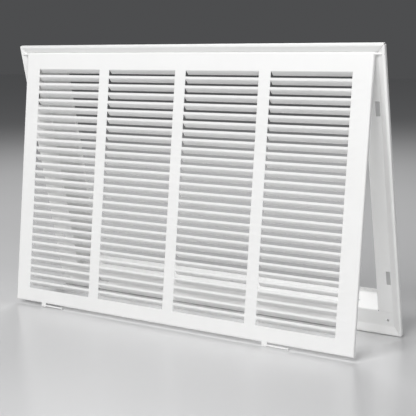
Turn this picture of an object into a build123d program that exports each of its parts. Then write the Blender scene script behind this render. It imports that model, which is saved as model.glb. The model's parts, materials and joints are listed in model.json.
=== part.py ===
from build123d import *
import math
import os

# Return air grille of painted sheet steel: a rolled wall frame and a louvred door hinged at its top.
# It stands as a tent, the frame leaning on the floor behind and the door swung out in front.
# Every piece is drawn as mounted on a wall, with the door shut: X to the right, Y up the wall,
# Z out of the wall, and the origin in the wall plane at the middle of the opening.
# All sizes are in millimetres.

# Driving dimensions of the wall frame
frame_width = 625.5
frame_height = 422.3
sheet = 0.7
flange_width = 35.0
rim_width = 12.5
rim_height = 5.8
rim_land = 3.5
rim_bend = 2.0
foot_bend = 5.0
collar_depth = 57.0
collar_bend = 1.7
lip_width = 3.6
lip_bend = 1.0
relief_radius = 1.2
corner_nick = 2.0

# Openings punched in the frame
fixing_slot_length = 20.5
fixing_slot_width = 6.4
fixing_slot_inset = 16.8
fixing_slot_from_end = 88.0
dimple_radius = 2.4
dimple_depth = 0.45
dimple_from_slot = 8.0
screw_hole_radius = 2.0
screw_hole_inset = 21.5
collar_hole_radius = 1.5
collar_hole_depth = 22.0
collar_hole_from_corner = 39.0

# Driving dimensions of the louvred door
door_side_gap = 2.25
door_lap = 1.25
door_proud = 0.7
door_bend = 2.5
seat_gap = 0.2
columns = 4
mullion = 18.5
row_pitch = 12.7
slot_height = 10.0
louvre_side_clearance = 6.9
louvre_end_clearance = 0.6
blade_angle = 50.0
open_angle = 19.2

# Hinge pins
pin_radius = 1.5
pin_tail = 2.5
pin_tip_inset = 2.6
pin_shoulder_radius = 2.2
pin_shoulder_length = 1.0
running_clearance = 0.08
rivet_clearance = 0.03

# Finger latches and the catch windows that they hook into
window_length = 20.0
window_from_end = 105.75
window_inner = 9.2
window_outer = 5.6
left_latch_to_window = 32.0
right_latch_to_window = 42.5
latch_length = 36.5
latch_sheet = 0.8
latch_gap = 0.1
latch_strip = 2.2
finger_gap = 2.25
pivot_drop = 2.9
boss_radius = 2.6
ear_width = 8.6
ear_length = 5.7
ear_corner = 2.8
rivet_radius = 1.0
rivet_head_radius = 1.8
rivet_head_height = 0.6
tooth_length = 2.4
barb_reach = 0.6
barb_height = 1.0
barb_clearance = 0.2

# Places worked out from the sizes
half_width = frame_width / 2
half_height = frame_height / 2
ledge_end = flange_width + sheet - collar_bend
lip_end = flange_width + sheet + lip_width
opening_width = frame_width - 2 * (flange_width + sheet)
opening_height = frame_height - 2 * (flange_width + sheet)

rim_slope = math.atan2(rim_height - sheet, rim_width - rim_land)
rim_foot = rim_width + foot_bend * math.tan(rim_slope / 2)

door_width = frame_width - 2 * (rim_width + door_side_gap)
door_height = frame_height - 2 * (rim_width - door_lap)
door_front = rim_height + door_proud
door_back = sheet + door_lap * math.tan(rim_slope) + seat_gap
face_back = door_front - sheet
door_edge = -door_height / 2

blade_drop = slot_height * math.cos(math.radians(blade_angle))
blade_depth = slot_height * math.sin(math.radians(blade_angle))
slot_width = (opening_width - 2 * louvre_side_clearance - (columns - 1) * mullion) / columns
column_pitch = slot_width + mullion
rows = int((opening_height - 2 * louvre_end_clearance - blade_drop) / row_pitch) + 1
first_slot_top = opening_height / 2 - louvre_end_clearance
pattern_middle = first_slot_top - ((rows - 1) * row_pitch + slot_height) / 2

hinge_y = door_height / 2 - door_bend
hinge_z = door_front - door_bend
swing_radius = hinge_z - sheet - seat_gap
top_return = math.sqrt(max(swing_radius**2 - door_bend**2, 0))

window_centre = half_width - window_from_end
latch_pivots = (-window_centre - left_latch_to_window, window_centre - right_latch_to_window)
latch_front = face_back - latch_gap
latch_back = latch_front - latch_sheet
pivot_y = door_edge - pivot_drop
strip_top = door_edge - finger_gap


def facet_underside(inset):
    """Height of the underside of the rim's sloping inner face, at a distance from the frame's edge."""
    return sheet + (rim_width - inset) * math.tan(rim_slope) - sheet / math.cos(rim_slope)


def rolled_rail(middle, inward, length, corner):
    """One side of the frame: rim, ledge, collar and lip rolled from a single strip.

    middle is the middle of the rail's outer edge, inward points to the opening, and corner gives
    the outline of the rail's end as steps of (distance from the end, distance from the edge).
    """
    along = Vector(inward).cross(Vector(0, 0, 1))
    across = Plane(origin=middle, x_dir=inward, z_dir=along)
    front = Plane(origin=middle, x_dir=along, z_dir=(0, 0, 1))
    slot_place = length / 2 - fixing_slot_from_end
    dimple_place = slot_place - fixing_slot_length / 2 - dimple_from_slot
    collar_hole_place = length / 2 - flange_width - collar_hole_from_corner

    with BuildPart() as rail:
        with BuildSketch(across):
            with BuildLine():
                FilletPolyline(
                    (0, 0),
                    (0, rim_height),
                    (rim_land, rim_height),
                    (rim_width, sheet),
                    (flange_width + sheet, sheet),
                    (flange_width + sheet, sheet - collar_depth),
                    (lip_end, sheet - collar_depth),
                    radius=[rim_bend, rim_bend, foot_bend, collar_bend, lip_bend],
                )
                offset(amount=sheet, side=Side.RIGHT)
            make_face()
        extrude(amount=length / 2, both=True)

        # Mitred rim, butted ledge and mitred collar at both ends
        with BuildSketch(front):
            with BuildLine():
                right_end = [(length / 2 - back, inset) for back, inset in corner]
                left_end = [(-place, inset) for place, inset in reversed(right_end)]
                Polyline(*right_end, *left_end, close=True)
            make_face()
        extrude(amount=collar_depth + rim_height, both=True, mode=Mode.INTERSECT)

        # Fixing slots through the ledge, each with a dimple towards the rail's middle
        with BuildSketch(front):
            with Locations((-slot_place, fixing_slot_inset), (slot_place, fixing_slot_inset)):
                Rectangle(fixing_slot_length, fixing_slot_width)
        extrude(amount=2 * sheet, both=True, mode=Mode.SUBTRACT)
        with Locations(front.offset(sheet - dimple_depth)):
            with Locations((-dimple_place, fixing_slot_inset), (dimple_place, fixing_slot_inset)):
                Cone(
                    bottom_radius=0,
                    top_radius=dimple_radius,
                    height=dimple_depth,
                    align=(Align.CENTER, Align.CENTER, Align.MIN),
                    mode=Mode.SUBTRACT,
                )

        # Round holes through the collar wall, and the relief at the corner where the folds meet
        with BuildSketch(Plane(origin=middle, x_dir=along, z_dir=inward).offset(flange_width)):
            with Locations((-collar_hole_place, collar_hole_depth), (collar_hole_place, collar_hole_depth)):
                Circle(collar_hole_radius)
        extrude(amount=collar_bend, both=True, mode=Mode.SUBTRACT)
        relief_place = length / 2 - flange_width
        with BuildSketch(front):
            with Locations((-relief_place, flange_width), (relief_place, flange_width)):
                Circle(relief_radius)
        extrude(amount=2 * sheet, both=True, mode=Mode.SUBTRACT)
    return rail.part


# The top and bottom rails keep their ledge to the corner, and the side rails butt against it
rim_end = [(corner_nick, 0), (corner_nick / 2, corner_nick / 2), (rim_foot, rim_foot)]
collar_end = [(ledge_end, ledge_end), (lip_end + sheet, lip_end + sheet)]
long_corner = rim_end + [(rim_foot, ledge_end)] + collar_end
side_corner = rim_end + [(ledge_end, rim_foot)] + collar_end

with BuildPart() as top_rail:
    add(rolled_rail((0, half_height, 0), (0, -1, 0), frame_width, long_corner))
    with BuildSketch():
        with Locations((0, half_height - screw_hole_inset)):
            with GridLocations(frame_width - 2 * screw_hole_inset, 1, 2, 1):
                Circle(screw_hole_radius)
    extrude(amount=2 * sheet, mode=Mode.SUBTRACT)

with BuildPart() as bottom_rail:
    add(rolled_rail((0, -half_height, 0), (0, 1, 0), frame_width, long_corner))
    with BuildSketch():
        with Locations((0, screw_hole_inset - half_height)):
            with GridLocations(frame_width - 2 * screw_hole_inset, 1, 2, 1):
                Circle(screw_hole_radius)
        with Locations((0, (window_inner + window_outer) / 2 - half_height)):
            with GridLocations(2 * window_centre, 1, 2, 1):
                Rectangle(window_length, window_inner - window_outer)
    extrude(amount=rim_height, mode=Mode.SUBTRACT)

with BuildPart() as left_rail:
    add(rolled_rail((-half_width, 0, 0), (1, 0, 0), frame_height, side_corner))
    with BuildSketch(Plane.YZ.offset(-half_width + sheet)):
        with Locations((hinge_y, hinge_z)):
            Circle(pin_radius + running_clearance)
    extrude(amount=rim_width, mode=Mode.SUBTRACT)

with BuildPart() as right_rail:
    add(rolled_rail((half_width, 0, 0), (-1, 0, 0), frame_height, side_corner))
    with BuildSketch(Plane.YZ.offset(half_width - sheet)):
        with Locations((hinge_y, hinge_z)):
            Circle(pin_radius + running_clearance)
    extrude(amount=-rim_width, mode=Mode.SUBTRACT)

# One louvre blade, lanced on three sides from its slot and bent back about the slot's top edge
with BuildPart() as blade:
    with BuildSketch(Plane.YZ):
        with BuildLine():
            Polyline(
                (slot_height / 2 + sheet, door_front),
                (slot_height / 2, door_front),
                (slot_height / 2 - blade_drop, door_front - blade_depth),
            )
            offset(amount=sheet, side=Side.LEFT, kind=Kind.INTERSECTION)
        make_face()
    extrude(amount=slot_width / 2, both=True)

with BuildPart() as door_panel:
    # Shallow pan with its edges folded back
    with BuildSketch(Plane.XY.offset(door_back)):
        Rectangle(door_width, door_height)
    extrude(amount=door_front - door_back)
    fillet(door_panel.faces().sort_by(Axis.Z)[-1].edges(), radius=door_bend)
    offset(amount=-sheet, openings=door_panel.faces().sort_by(Axis.Z)[0])

    # The returns are lower above the hinge axis, so that they clear the ledge as the door swings
    with BuildSketch(Plane.YZ):
        with Locations((hinge_y, door_back)):
            Rectangle(2 * door_bend, hinge_z - top_return - door_back, align=(Align.MIN, Align.MIN))
    extrude(amount=door_width, both=True, mode=Mode.SUBTRACT)

    # Louvres
    with BuildSketch(Plane.XY.offset(door_front)):
        with Locations((0, pattern_middle)):
            with GridLocations(column_pitch, row_pitch, columns, rows):
                Rectangle(slot_width, slot_height)
    extrude(amount=-2 * sheet, mode=Mode.SUBTRACT)
    with Locations((0, pattern_middle)):
        with GridLocations(column_pitch, row_pitch, columns, rows):
            add(blade.part)

    # Rounded ears at the bottom edge that carry the latches
    with BuildSketch(Plane.XY.offset(face_back)) as ears:
        for pivot_x in latch_pivots:
            with Locations((pivot_x, door_edge + door_bend)):
                Rectangle(ear_width, ear_length + door_bend, align=(Align.CENTER, Align.MAX))
        fillet(ears.vertices().group_by(Axis.Y)[0], radius=ear_corner)
        with Locations([(pivot_x, pivot_y) for pivot_x in latch_pivots]):
            Circle(rivet_radius + rivet_clearance, mode=Mode.SUBTRACT)
    extrude(amount=sheet)

    # Holes for the hinge pins in the side returns
    with BuildSketch(Plane.YZ):
        with Locations((hinge_y, hinge_z)):
            Circle(pin_radius + rivet_clearance)
    extrude(amount=door_width, both=True, mode=Mode.SUBTRACT)


def hinge_pin(side):
    """Shouldered pin through a side return of the door, into the rim: side is -1 at left, 1 at right."""
    tail = door_width / 2 - sheet - pin_tail
    tip = half_width - pin_tip_inset
    with BuildPart() as pin:
        with BuildSketch(Plane.YZ.offset(side * tail)):
            with Locations((hinge_y, hinge_z)):
                Circle(pin_radius)
        extrude(amount=side * (tip - tail))
        with BuildSketch(Plane.YZ.offset(side * door_width / 2)):
            with Locations((hinge_y, hinge_z)):
                Circle(pin_shoulder_radius)
        extrude(amount=side * pin_shoulder_length)
    return pin.part


def latch_lever(pivot_x):
    """Finger lever: a boss on the rivet, a strip along the door's edge, and a barbed tooth."""
    tooth_end = pivot_x + latch_length
    tooth_back = facet_underside(window_outer) - barb_clearance - barb_height
    barb_end = window_outer - half_height - barb_reach
    with BuildPart() as lever:
        with BuildSketch(Plane.XY.offset(latch_back)):
            with Locations((pivot_x, pivot_y)):
                Circle(boss_radius)
            with Locations((pivot_x, strip_top)):
                Rectangle(latch_length, latch_strip, align=(Align.MIN, Align.MAX))
            with Locations((pivot_x, pivot_y)):
                Circle(rivet_radius + running_clearance, mode=Mode.SUBTRACT)
        extrude(amount=latch_sheet)
        with BuildSketch(Plane.XY.offset(latch_back)):
            with Locations((tooth_end, strip_top)):
                Rectangle(tooth_length, latch_strip, align=(Align.MAX, Align.MAX))
        extrude(amount=tooth_back - latch_back)
        with BuildSketch(Plane.XY.offset(tooth_back)):
            with Locations((tooth_end, barb_end)):
                Rectangle(tooth_length, strip_top - barb_end, align=(Align.MAX, Align.MIN))
        extrude(amount=barb_height)
    return lever.part


def latch_rivet(pivot_x):
    """Rivet through an ear and its lever, headed at both ends."""
    with BuildPart() as rivet:
        with BuildSketch(Plane.XY.offset(latch_back)):
            with Locations((pivot_x, pivot_y)):
                Circle(rivet_radius)
        extrude(amount=door_front - latch_back)
        with BuildSketch(Plane.XY.offset(door_front)):
            with Locations((pivot_x, pivot_y)):
                Circle(rivet_head_radius)
        extrude(amount=rivet_head_height)
        chamfer(rivet.faces().sort_by(Axis.Z)[-1].edges(), length=rivet_head_height / 2)
        with BuildSketch(Plane.XY.offset(latch_back)):
            with Locations((pivot_x, pivot_y)):
                Circle(rivet_head_radius)
        extrude(amount=-rivet_head_height)
    return rivet.part


frame_pieces = {
    "top_rail": top_rail.part,
    "bottom_rail": bottom_rail.part,
    "left_rail": left_rail.part,
    "right_rail": right_rail.part,
}
door_pieces = {
    "door_panel": door_panel.part,
    "hinge_pin_left": hinge_pin(-1),
    "hinge_pin_right": hinge_pin(1),
    "latch_left": latch_lever(latch_pivots[0]),
    "latch_right": latch_lever(latch_pivots[1]),
    "latch_rivet_left": latch_rivet(latch_pivots[0]),
    "latch_rivet_right": latch_rivet(latch_pivots[1]),
}

# The frame leans until its rounded bottom edge and the ends of the door's ears are on one level.
# With the heights written out, level_cos * cos(lean) + level_sin * sin(lean) = rim_bend.
swing = math.radians(open_angle)
ear_run = hinge_y - door_edge + ear_length
ear_rise = face_back - hinge_z
level_cos = ear_run * math.cos(swing) - ear_rise * math.sin(swing) - (half_height - rim_bend + hinge_y)
level_sin = ear_run * math.sin(swing) + ear_rise * math.cos(swing) - (rim_height - rim_bend - hinge_z)
frame_lean = math.asin(rim_bend / math.hypot(level_cos, level_sin)) - math.atan2(level_cos, level_sin)

lean = Plane(origin=(0, 0, 0), x_dir=(1, 0, 0), z_dir=(0, -math.cos(frame_lean), -math.sin(frame_lean))).location
door_swing = Pos(0, hinge_y, hinge_z) * Rot(-open_angle, 0, 0) * Pos(0, -hinge_y, -hinge_z)
leaning = {name: lean * piece for name, piece in frame_pieces.items()}
leaning.update({name: lean * door_swing * piece for name, piece in door_pieces.items()})

# The origin is on the floor, under the middle of the whole
whole = Compound(list(leaning.values())).bounding_box()
floor_middle = Pos(-whole.center().X, -whole.center().Y, -whole.min.Z)

os.makedirs("parts", exist_ok=True)
for name, piece in leaning.items():
    placed = floor_middle * piece
    placed.label = name
    export_step(placed, f"parts/{name}.step")
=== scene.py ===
import json
import math

import bmesh
import bpy
from mathutils import Matrix, Vector


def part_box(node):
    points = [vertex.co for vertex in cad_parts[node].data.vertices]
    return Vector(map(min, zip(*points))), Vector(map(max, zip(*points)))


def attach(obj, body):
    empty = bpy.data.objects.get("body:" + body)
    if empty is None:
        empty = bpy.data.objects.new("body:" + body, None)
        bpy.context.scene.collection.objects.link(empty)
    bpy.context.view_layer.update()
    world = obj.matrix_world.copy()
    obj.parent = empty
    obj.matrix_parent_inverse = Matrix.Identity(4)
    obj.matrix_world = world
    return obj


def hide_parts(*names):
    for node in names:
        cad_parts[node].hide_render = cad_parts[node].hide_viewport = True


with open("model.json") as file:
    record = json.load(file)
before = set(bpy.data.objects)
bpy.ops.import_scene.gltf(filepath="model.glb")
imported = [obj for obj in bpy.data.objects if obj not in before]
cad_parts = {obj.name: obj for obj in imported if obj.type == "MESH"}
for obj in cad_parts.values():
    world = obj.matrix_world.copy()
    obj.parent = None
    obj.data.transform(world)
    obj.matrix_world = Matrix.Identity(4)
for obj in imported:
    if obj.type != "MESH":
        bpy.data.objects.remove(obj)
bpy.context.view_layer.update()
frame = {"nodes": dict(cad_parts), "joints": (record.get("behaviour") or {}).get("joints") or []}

# Looks of a hinged return air grille of white enamelled sheet steel, stood open as a tent.
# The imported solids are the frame. All lengths are in metres.

MM = 0.001

# Sizes of the sheet metal, as on the solids
SHEET = 0.7 * MM
FRAME_LEAN = math.radians(12.01)
DOOR_WIDTH = 596.0 * MM
DOOR_HEIGHT = 399.8 * MM
DOOR_BEND = 2.5 * MM
DOOR_DEPTH = 4.89 * MM
TOP_RETURN_DEPTH = 4.33 * MM
COLUMNS = 4
ROWS = 28
SLOT_WIDTH = 121.2 * MM
SLOT_HEIGHT = 10.0 * MM
COLUMN_PITCH = 139.7 * MM
ROW_PITCH = 12.7 * MM
FIRST_SLOT_TOP = 22.55 * MM
BLADE_ANGLE = math.radians(50)
EAR_WIDTH = 8.6 * MM
EAR_LENGTH = 5.7 * MM
EAR_CORNER = 2.8 * MM
RIVET_SHANK_RADIUS = 1.0 * MM
RIVET_HEAD_RADIUS = 1.8 * MM
RIVET_HEAD_HEIGHT = 0.6 * MM

# Detail that the solids leave out
BLADE_BEND = 1.3 * MM
EAR_SLIT = 0.5 * MM
EDGE_BREAK = 0.12 * MM
RAIL_BREAK = 0.25 * MM
SEAM = 0.4 * MM

# Steps in the round stretches, the angle past which an edge is sharp, and the one within which faces are flat
BLADE_STEPS = 8
FOLD_STEPS = 8
BREAK_STEPS = 2
DOME_STEPS = 6
TURN_STEPS = 28
SHARP_EDGE = math.radians(32)
FLAT_WITHIN = math.radians(0.5)

# Distances within which two points or places are the same
TINY = 0.0001 * MM
WELD = 0.001 * MM

# Enamel: tones, roughness, and the fineness of its unevenness in waves per metre
ENAMEL_DARK = (0.86, 0.86, 0.85)
ENAMEL_LIGHT = (0.90, 0.90, 0.895)
ENAMEL_SMOOTHEST = 0.30
ENAMEL_DULLEST = 0.40
TONE_WAVES = 9.0
GLOSS_WAVES = 45.0
PEEL_WAVES = 620.0
PEEL_STRENGTH = 0.12
PEEL_HEIGHT = 0.05 * MM
COAT_WEIGHT = 0.12
COAT_ROUGHNESS = 0.18
NOISE_LOW = 0.3
NOISE_HIGH = 0.7

# Camera, from the photograph's perspective
CAMERA_PLACE = Vector((0.7849, -1.2174, 0.4168))
CAMERA_RIGHT = Vector((0.846058, 0.533006, -0.009482))
CAMERA_FORWARD = Vector((-0.526673, 0.832989, -0.169544))
SENSOR = 36.0
FOCAL_PIXELS = 961.7
PHOTO_PIXELS = 416

# Studio: floor, surroundings, and lamps as (name, place, size, power in watts)
FLOOR_REACH = 9.0
FLOOR_DARK = (0.76, 0.76, 0.765)
FLOOR_LIGHT = (0.79, 0.79, 0.795)
FLOOR_WAVES = 3.0
FLOOR_ROUGHNESS = 0.25
WORLD_COLOUR = (0.62, 0.63, 0.65)
WORLD_STRENGTH = 0.12
LAMP_AIM = Vector((0, 0, 0.2))
LAMPS = (
    ("key", (-0.1, -2.3, 2.2), 1.8, 73),
    ("fill", (2.0, -2.1, 1.0), 1.0, 15),
    ("back", (-1.0, 1.5, 2.0), 1.2, 27),
    ("side", (2.6, -0.6, 1.2), 1.0, 4),
)


# Node helpers

def value_node(tree, operation, a, b=None):
    """A Math node: each input is a number or a socket."""
    node = tree.nodes.new("ShaderNodeMath")
    node.operation = operation
    for socket, given in zip(node.inputs, (a, b)):
        if given is None:
            continue
        if isinstance(given, (int, float)):
            socket.default_value = given
        else:
            tree.links.new(given, socket)
    return node.outputs[0]


def new_material(name):
    """An empty node material and its tree, with a Principled shader on the output."""
    material = bpy.data.materials.new(name)
    material.use_nodes = True
    tree = material.node_tree
    tree.nodes.clear()
    output = tree.nodes.new("ShaderNodeOutputMaterial")
    shader = tree.nodes.new("ShaderNodeBsdfPrincipled")
    tree.links.new(shader.outputs["BSDF"], output.inputs["Surface"])
    return material, tree, shader


def noise(tree, waves, detail):
    """Noise over the piece, with so many waves to the metre."""
    place = tree.nodes.new("ShaderNodeTexCoord")
    node = tree.nodes.new("ShaderNodeTexNoise")
    node.inputs["Scale"].default_value = waves
    node.inputs["Detail"].default_value = detail
    tree.links.new(place.outputs["Object"], node.inputs["Vector"])
    return node.outputs["Fac"]


def ramp(tree, factor, low, high):
    """Noise turned into a number from low to high."""
    node = tree.nodes.new("ShaderNodeMapRange")
    node.inputs["From Min"].default_value = NOISE_LOW
    node.inputs["From Max"].default_value = NOISE_HIGH
    node.inputs["To Min"].default_value = low
    node.inputs["To Max"].default_value = high
    tree.links.new(factor, node.inputs["Value"])
    return node.outputs["Result"]


def blend_colours(tree, factor, first, second):
    """Mix of two colours by a factor."""
    node = tree.nodes.new("ShaderNodeMix")
    node.data_type = "RGBA"
    node.inputs["A"].default_value = (*first, 1)
    node.inputs["B"].default_value = (*second, 1)
    tree.links.new(factor, node.inputs["Factor"])
    return node.outputs["Result"]


def white_enamel():
    """Baked white powder enamel: a faint orange peel, and a very small drift in tone and gloss."""
    material, tree, shader = new_material("white_enamel")
    tone = blend_colours(tree, noise(tree, TONE_WAVES, detail=3.0), ENAMEL_DARK, ENAMEL_LIGHT)
    tree.links.new(tone, shader.inputs["Base Color"])
    gloss = ramp(tree, noise(tree, GLOSS_WAVES, detail=4.0), ENAMEL_SMOOTHEST, ENAMEL_DULLEST)
    tree.links.new(gloss, shader.inputs["Roughness"])
    shader.inputs["Coat Weight"].default_value = COAT_WEIGHT
    shader.inputs["Coat Roughness"].default_value = COAT_ROUGHNESS
    bump = tree.nodes.new("ShaderNodeBump")
    bump.inputs["Strength"].default_value = PEEL_STRENGTH
    bump.inputs["Distance"].default_value = PEEL_HEIGHT
    tree.links.new(noise(tree, PEEL_WAVES, detail=2.0), bump.inputs["Height"])
    tree.links.new(bump.outputs["Normal"], shader.inputs["Normal"])
    return material


# Mesh helpers

def add_piece(name, mesh, material):
    """An object for a mesh whose place is already in its points."""
    piece = bpy.data.objects.new(name, mesh)
    bpy.context.scene.collection.objects.link(piece)
    mesh.materials.clear()
    mesh.materials.append(material)
    return piece


def plain_mesh(piece):
    """The piece's mesh with its modifiers carried out."""
    bpy.context.view_layer.update()
    evaluated = piece.evaluated_get(bpy.context.evaluated_depsgraph_get())
    return bpy.data.meshes.new_from_object(evaluated)


def break_edges(piece, width):
    """Rounds every sharp edge a little, as enamel does, and shades the flats flat."""
    bevel = piece.modifiers.new("edge_break", "BEVEL")
    bevel.width = width
    bevel.segments = BREAK_STEPS
    bevel.limit_method = "ANGLE"
    bevel.angle_limit = SHARP_EDGE
    piece.data.shade_smooth()
    flats = piece.modifiers.new("flats", "WEIGHTED_NORMAL")
    flats.keep_sharp = True
    finished = plain_mesh(piece)
    piece.modifiers.clear()
    old = piece.data
    piece.data = finished
    bpy.data.meshes.remove(old)


def copy_of_node(node, material):
    """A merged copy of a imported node's mesh, with its flat faces joined up again."""
    name = node + "_enamelled"
    mesh = frame["nodes"][node].data.copy()
    mesh.name = name
    shape = bmesh.new()
    shape.from_mesh(mesh)
    bmesh.ops.remove_doubles(shape, verts=shape.verts, dist=WELD)
    bmesh.ops.dissolve_limit(shape, angle_limit=FLAT_WITHIN, verts=shape.verts, edges=shape.edges)
    bmesh.ops.recalc_face_normals(shape, faces=shape.faces)
    shape.to_mesh(mesh)
    shape.free()
    return add_piece(name, mesh, material)


# Frame and levers

def open_seams(side_rail):
    """Draws both ends of a side rail back by a hair, so that its butt and mitre joints show."""
    upward = Vector((0, -math.sin(FRAME_LEAN), math.cos(FRAME_LEAN)))
    heights = [point.co.dot(upward) for point in side_rail.data.vertices]
    length = max(heights) - min(heights)
    middle = (max(heights) + min(heights)) / 2
    for point, height in zip(side_rail.data.vertices, heights):
        point.co -= 2 * SEAM / length * (height - middle) * upward


def rail(node, material):
    """One folded rail of the frame with broken edges. A side rail has open seams at its ends."""
    piece = copy_of_node(node, material)
    if node in ("left_rail", "right_rail"):
        open_seams(piece)
    break_edges(piece, RAIL_BREAK)
    return piece


def finger_lever(node, material):
    """One latch lever with broken edges."""
    piece = copy_of_node(node, material)
    break_edges(piece, EDGE_BREAK)
    return piece


# Door

def joint(name):
    """The record of one joint."""
    return next(entry for entry in frame["joints"] if entry["name"] == name)


def door_place():
    """Matrix from the door's own axes, X along its hinge, Y up its face and Z out of it, to the grille's."""
    outward = Vector(joint("latch_left_pivot")["axis"])
    right = Vector((1, 0, 0))
    upward = outward.cross(right)
    place = Matrix.Identity(4)
    for column, axis in enumerate((right, upward, outward)):
        for row in range(3):
            place[row][column] = axis[row]
    place.translation = Vector(joint("door_hinge")["pos_m"])
    return place


def latch_places(place):
    """Where the two latches turn, in the door's own axes."""
    back = place.inverted()
    return [back @ Vector(joint(name)["pos_m"]) for name in ("latch_left_pivot", "latch_right_pivot")]


def arc_then_straight(tree, run, radius, angle):
    """Drop and depth of a sheet at a run from its root: round an arc first, and straight after it."""
    turn = value_node(tree, "MINIMUM", value_node(tree, "DIVIDE", run, radius), angle)
    arc = value_node(tree, "MULTIPLY", radius, angle)
    straight = value_node(tree, "MAXIMUM", value_node(tree, "SUBTRACT", run, arc), 0.0)
    rise = value_node(tree, "SUBTRACT", 1.0, value_node(tree, "COSINE", turn))
    ends = []
    for on_arc, slope in ((value_node(tree, "SINE", turn), "COSINE"), (rise, "SINE")):
        round_part = value_node(tree, "MULTIPLY", on_arc, radius)
        straight_part = value_node(tree, "MULTIPLY", straight, value_node(tree, slope, angle))
        ends.append(value_node(tree, "ADD", round_part, straight_part))
    return ends


def bent_blade(tree, given):
    """One blade, bent back from its root, as a Geometry socket."""
    link = tree.links.new
    flat = tree.nodes.new("GeometryNodeMeshGrid")
    link(given["Blade Width"], flat.inputs["Size X"])
    link(given["Blade Length"], flat.inputs["Size Y"])
    flat.inputs["Vertices X"].default_value = 2
    link(given["Steps"], flat.inputs["Vertices Y"])

    here = tree.nodes.new("GeometryNodeInputPosition")
    parts = tree.nodes.new("ShaderNodeSeparateXYZ")
    link(here.outputs[0], parts.inputs[0])
    half_length = value_node(tree, "MULTIPLY", given["Blade Length"], 0.5)
    run = value_node(tree, "SUBTRACT", half_length, parts.outputs["Y"])
    drop, depth = arc_then_straight(tree, run, given["Bend Radius"], given["Bend Angle"])
    bent = tree.nodes.new("ShaderNodeCombineXYZ")
    link(parts.outputs["X"], bent.inputs["X"])
    link(value_node(tree, "MULTIPLY", drop, -1.0), bent.inputs["Y"])
    link(value_node(tree, "MULTIPLY", depth, -1.0), bent.inputs["Z"])
    shape = tree.nodes.new("GeometryNodeSetPosition")
    link(flat.outputs["Mesh"], shape.inputs["Geometry"])
    link(bent.outputs[0], shape.inputs["Position"])
    return shape.outputs[0]


def blade_roots(tree, given):
    """A grid of points, one at the middle of each blade's root."""
    roots = tree.nodes.new("GeometryNodeMeshGrid")
    for axis, count, pitch in (("X", "Columns", "Column Pitch"), ("Y", "Rows", "Row Pitch")):
        gaps = value_node(tree, "SUBTRACT", given[count], 1.0)
        tree.links.new(value_node(tree, "MULTIPLY", gaps, given[pitch]), roots.inputs["Size " + axis])
        tree.links.new(given[count], roots.inputs["Vertices " + axis])
    return roots.outputs["Mesh"]


def blade_tree():
    """Geometry nodes for the louvre blades: one bent blade, repeated over columns and rows."""
    tree = bpy.data.node_groups.new("louvre_blades", "GeometryNodeTree")
    sockets = {}

    def size_input(name, kind="NodeSocketFloat"):
        sockets[name] = tree.interface.new_socket(name=name, in_out="INPUT", socket_type=kind).identifier

    for name in ("Columns", "Rows", "Steps"):
        size_input(name, "NodeSocketInt")
    for name in ("Column Pitch", "Row Pitch", "Blade Width", "Blade Length", "Bend Radius", "Bend Angle"):
        size_input(name)
    size_input("Material", "NodeSocketMaterial")
    tree.interface.new_socket(name="Geometry", in_out="OUTPUT", socket_type="NodeSocketGeometry")
    given = tree.nodes.new("NodeGroupInput").outputs

    repeat = tree.nodes.new("GeometryNodeInstanceOnPoints")
    tree.links.new(blade_roots(tree, given), repeat.inputs["Points"])
    tree.links.new(bent_blade(tree, given), repeat.inputs["Instance"])
    realized = tree.nodes.new("GeometryNodeRealizeInstances")
    tree.links.new(repeat.outputs[0], realized.inputs[0])
    painted = tree.nodes.new("GeometryNodeSetMaterial")
    tree.links.new(realized.outputs[0], painted.inputs["Geometry"])
    tree.links.new(given["Material"], painted.inputs["Material"])
    output = tree.nodes.new("NodeGroupOutput")
    tree.links.new(painted.outputs[0], output.inputs[0])
    return tree, sockets


def louvre_blades(material):
    """Mesh of all the blades, in the door's axes, hanging from the tops of their slots."""
    tree, sockets = blade_tree()
    carrier = bpy.data.objects.new("blades", bpy.data.meshes.new("blades"))
    bpy.context.scene.collection.objects.link(carrier)
    modifier = carrier.modifiers.new("blades", "NODES")
    modifier.node_group = tree
    sizes = {
        "Columns": COLUMNS, "Rows": ROWS, "Steps": BLADE_STEPS,
        "Column Pitch": COLUMN_PITCH, "Row Pitch": ROW_PITCH, "Blade Width": SLOT_WIDTH,
        "Blade Length": SLOT_HEIGHT, "Bend Radius": BLADE_BEND, "Bend Angle": BLADE_ANGLE,
        "Material": material,
    }
    for name, size in sizes.items():
        modifier[sockets[name]] = size
    mesh = plain_mesh(carrier)
    bpy.data.objects.remove(carrier)
    pattern_middle = -FIRST_SLOT_TOP - (ROWS - 1) * ROW_PITCH / 2
    mesh.transform(Matrix.Translation((0, pattern_middle, DOOR_BEND)))
    return mesh


def slot_edges():
    """Left and right edges of the slot columns, and bottom and top edges of the slot rows, in order."""
    across = []
    for column in range(COLUMNS):
        middle = (column - (COLUMNS - 1) / 2) * COLUMN_PITCH
        across += [middle - SLOT_WIDTH / 2, middle + SLOT_WIDTH / 2]
    up = []
    for row in reversed(range(ROWS)):
        top = -FIRST_SLOT_TOP - row * ROW_PITCH
        up += [top - SLOT_HEIGHT, top]
    return across, up


def fold_profile():
    """Rolled edge of the door as (distance outward, height over the face): an arc, then the return."""
    profile = []
    for step in range(FOLD_STEPS + 1):
        turn = math.pi / 2 * step / FOLD_STEPS
        profile.append((DOOR_BEND * math.sin(turn), -DOOR_BEND * (1 - math.cos(turn))))
    return profile + [(DOOR_BEND, -TOP_RETURN_DEPTH), (DOOR_BEND, -DOOR_DEPTH)]


def add_face(shape, points):
    """One face through the given points, which run anticlockwise seen from outside."""
    corners = []
    for point in points:
        if not corners or (Vector(point) - corners[-1].co).length > TINY:
            corners.append(shape.verts.new(point))
    if (corners[0].co - corners[-1].co).length < TINY:
        shape.verts.remove(corners.pop())
    if len(corners) > 2:
        shape.faces.new(corners)


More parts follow.
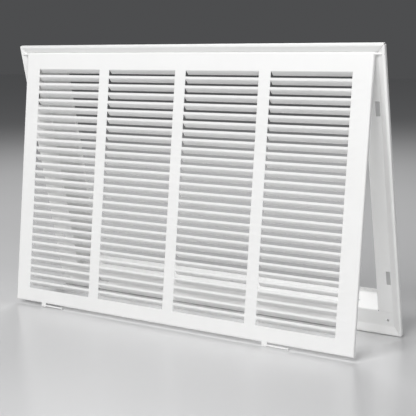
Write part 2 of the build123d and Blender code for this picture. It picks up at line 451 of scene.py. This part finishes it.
def door_face(shape, cuts, left, right, bottom):
    """Flat face with its slots left open; cuts are the places along the bottom edge where ears begin."""
    across, up = slot_edges()
    xs = [left, *across, right]
    ys = [bottom, *up, 0.0]
    for i in range(len(xs) - 1):
        for j in range(len(ys) - 1):
            if i % 2 == 1 and j % 2 == 1:
                continue
            low = [x for x in cuts if xs[i] < x < xs[i + 1]] if j == 0 else []
            edge = [xs[i], *sorted(low), xs[i + 1]]
            ring = [(x, ys[j], DOOR_BEND) for x in edge]
            ring += [(xs[i + 1], ys[j + 1], DOOR_BEND), (xs[i], ys[j + 1], DOOR_BEND)]
            add_face(shape, ring)
    return xs, ys


def door_folds(shape, xs, ys, cuts, slits):
    """Rolled edges and returns round the face, mitred at the corners and left out behind the ears."""
    left, right, bottom = xs[0], xs[-1], ys[0]
    profile = fold_profile()
    along_bottom = sorted([*xs, *cuts])
    for (out_a, z_a), (out_b, z_b) in zip(profile, profile[1:]):
        high_a, high_b = DOOR_BEND + z_a, DOOR_BEND + z_b
        deep = z_b < -TOP_RETURN_DEPTH - TINY

        def spread(x, out):
            if x == left:
                return x - out
            return x + out if x == right else x

        for x1, x2 in zip(along_bottom, along_bottom[1:]):
            if any(low - TINY < (x1 + x2) / 2 < high + TINY for low, high in slits):
                continue
            add_face(shape, [
                (spread(x1, out_b), bottom - out_b, high_b), (spread(x2, out_b), bottom - out_b, high_b),
                (spread(x2, out_a), bottom - out_a, high_a), (spread(x1, out_a), bottom - out_a, high_a)])
        if not deep:
            for x1, x2 in zip(xs, xs[1:]):
                add_face(shape, [
                    (spread(x1, out_a), out_a, high_a), (spread(x2, out_a), out_a, high_a),
                    (spread(x2, out_b), out_b, high_b), (spread(x1, out_b), out_b, high_b)])
        for side, edge in ((-1, left), (1, right)):
            steps = [(y, y) for y in ys]
            steps[0] = (bottom - out_a, bottom - out_b)
            if not deep:
                steps.append((out_a, out_b))
            for (y1a, y1b), (y2a, y2b) in zip(steps, steps[1:]):
                ring = [
                    (edge + side * out_a, y1a, high_a), (edge + side * out_b, y1b, high_b),
                    (edge + side * out_b, y2b, high_b), (edge + side * out_a, y2a, high_a)]
                add_face(shape, ring if side > 0 else ring[::-1])


def door_ear(shape, x, bottom):
    """Rounded ear that stays flat where the fold is cut away."""
    low = bottom - DOOR_BEND - EAR_LENGTH
    ring = [(x + EAR_WIDTH / 2, bottom, DOOR_BEND), (x - EAR_WIDTH / 2, bottom, DOOR_BEND)]
    for side, start in ((-1, math.pi), (1, 1.5 * math.pi)):
        centre = Vector((x + side * (EAR_WIDTH / 2 - EAR_CORNER), low + EAR_CORNER, DOOR_BEND))
        for step in range(FOLD_STEPS + 1):
            turn = start + math.pi / 2 * step / FOLD_STEPS
            ring.append(centre + EAR_CORNER * Vector((math.cos(turn), math.sin(turn), 0)))
    add_face(shape, ring)


def door_skin(place, material):
    """The stamped door: face, louvre blades, folds and ears as one sheet, given its thickness."""
    left, right = DOOR_BEND - DOOR_WIDTH / 2, DOOR_WIDTH / 2 - DOOR_BEND
    bottom = 2 * DOOR_BEND - DOOR_HEIGHT
    ears = [spot.x for spot in latch_places(place)]
    slits = [(x - EAR_WIDTH / 2 - EAR_SLIT, x + EAR_WIDTH / 2 + EAR_SLIT) for x in ears]
    cuts = [x + side * (EAR_WIDTH / 2 + slit) for x in ears for side in (-1, 1) for slit in (0, EAR_SLIT)]

    shape = bmesh.new()
    shape.from_mesh(louvre_blades(material))
    xs, ys = door_face(shape, cuts, left, right, bottom)
    door_folds(shape, xs, ys, cuts, slits)
    for x in ears:
        door_ear(shape, x, bottom)
    bmesh.ops.remove_doubles(shape, verts=shape.verts, dist=2 * WELD)
    mesh = bpy.data.meshes.new("door_skin")
    shape.to_mesh(mesh)
    shape.free()
    mesh.transform(place)

    skin = add_piece("door_skin", mesh, material)
    wall = skin.modifiers.new("wall", "SOLIDIFY")
    wall.thickness = SHEET
    wall.offset = -1.0
    wall.use_even_offset = True
    break_edges(skin, EDGE_BREAK)
    return skin


# Rivets

def turned(name, outline, start, axis, material):
    """A solid of revolution about axis from start, with outline as (distance along, radius)."""
    axis = axis.normalized()
    side = axis.orthogonal().normalized()
    other = axis.cross(side)
    shape = bmesh.new()
    rings = []
    for along, radius in outline:
        centre = start + along * axis
        if radius == 0:
            rings.append([shape.verts.new(centre)])
            continue
        ring = []
        for step in range(TURN_STEPS):
            turn = 2 * math.pi * step / TURN_STEPS
            ring.append(shape.verts.new(centre + radius * (math.cos(turn) * side + math.sin(turn) * other)))
        rings.append(ring)
    for lower, upper in zip(rings, rings[1:]):
        for step in range(TURN_STEPS):
            after = (step + 1) % TURN_STEPS
            corners = [lower[step % len(lower)], lower[after % len(lower)]]
            corners += [upper[after % len(upper)], upper[step % len(upper)]]
            shape.faces.new(list(dict.fromkeys(corners)))
    bmesh.ops.recalc_face_normals(shape, faces=shape.faces)
    mesh = bpy.data.meshes.new(name)
    shape.to_mesh(mesh)
    shape.free()
    mesh.shade_smooth()
    mesh.set_sharp_from_angle(angle=SHARP_EDGE)
    return add_piece(name, mesh, material)


def latch_rivet(node, spot, place, material):
    """Rivet with a domed head in front of the ear and a flat one behind the lever."""
    low, high = [place.inverted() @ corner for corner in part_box(node)]
    back = min(low.z, high.z)
    front = DOOR_BEND - back
    dome = [(front + RIVET_HEAD_HEIGHT * math.sin(turn), RIVET_HEAD_RADIUS * math.cos(turn))
            for turn in (math.pi / 2 * step / DOME_STEPS for step in range(DOME_STEPS))]
    outline = [(0.0, 0.0), (0.0, RIVET_HEAD_RADIUS), (RIVET_HEAD_HEIGHT, RIVET_HEAD_RADIUS)]
    outline += [(RIVET_HEAD_HEIGHT, RIVET_SHANK_RADIUS), (front, RIVET_SHANK_RADIUS)]
    outline += [*dome, (front + RIVET_HEAD_HEIGHT, 0.0)]
    start = place @ Vector((spot.x, spot.y, back))
    outward = place.to_3x3() @ Vector((0, 0, 1))
    return turned(node + "_turned", outline, start, outward, material)


# Camera and studio

def camera():
    """The photograph's camera, with no shift."""
    data = bpy.data.cameras.new("camera")
    data.sensor_width = SENSOR
    data.lens = FOCAL_PIXELS / PHOTO_PIXELS * SENSOR
    eye = bpy.data.objects.new("camera", data)
    bpy.context.scene.collection.objects.link(eye)
    right = CAMERA_RIGHT.normalized()
    forward = (CAMERA_FORWARD - CAMERA_FORWARD.dot(right) * right).normalized()
    upward = right.cross(forward)
    eye.matrix_world = Matrix((
        (right.x, upward.x, -forward.x, CAMERA_PLACE.x),
        (right.y, upward.y, -forward.y, CAMERA_PLACE.y),
        (right.z, upward.z, -forward.z, CAMERA_PLACE.z),
        (0, 0, 0, 1)))
    bpy.context.scene.camera = eye


def softbox(name, place, size, power):
    """A square lamp that faces the middle of the grille."""
    data = bpy.data.lights.new(name, "AREA")
    data.size = size
    data.energy = power
    lamp = bpy.data.objects.new(name, data)
    bpy.context.scene.collection.objects.link(lamp)
    lamp.visible_camera = False
    lamp.location = place
    lamp.rotation_euler = (LAMP_AIM - Vector(place)).to_track_quat("-Z", "Y").to_euler()


def studio_floor():
    """A wide pale floor under the grille."""
    material, tree, shader = new_material("studio_floor")
    tone = blend_colours(tree, noise(tree, FLOOR_WAVES, detail=2.0), FLOOR_DARK, FLOOR_LIGHT)
    tree.links.new(tone, shader.inputs["Base Color"])
    shader.inputs["Roughness"].default_value = FLOOR_ROUGHNESS
    mesh = bpy.data.meshes.new("floor")
    corners = [(x * FLOOR_REACH, y * FLOOR_REACH, 0) for x, y in ((-1, -1), (1, -1), (1, 1), (-1, 1))]
    mesh.from_pydata(corners, [], [(0, 1, 2, 3)])
    add_piece("floor", mesh, material)


def studio():
    """Floor, pale surroundings and soft lamps."""
    studio_floor()
    world = bpy.data.worlds.new("studio")
    world.use_nodes = True
    background = world.node_tree.nodes["Background"]
    background.inputs["Color"].default_value = (*WORLD_COLOUR, 1)
    background.inputs["Strength"].default_value = WORLD_STRENGTH
    bpy.context.scene.world = world
    for name, place, size, power in LAMPS:
        softbox(name, place, size, power)


def stand_in(piece, node, body):
    """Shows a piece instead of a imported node, on the body that it moves with."""
    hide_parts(node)
    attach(piece, body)


def main():
    enamel = white_enamel()
    camera()
    studio()

    place = door_place()
    stand_in(door_skin(place, enamel), "door_panel", "door")
    for node in ("top_rail", "bottom_rail", "left_rail", "right_rail"):
        stand_in(rail(node, enamel), node, "frame")
    for node, body in (("latch_left", "lever_left"), ("latch_right", "lever_right")):
        stand_in(finger_lever(node, enamel), node, body)
    for node, spot in zip(("latch_rivet_left", "latch_rivet_right"), latch_places(place)):
        stand_in(latch_rivet(node, spot, place, enamel), node, "door")

    for node in frame["nodes"].values():
        node.data.materials.clear()
        node.data.materials.append(enamel)

    bpy.context.scene.view_settings.view_transform = "Standard"


main()
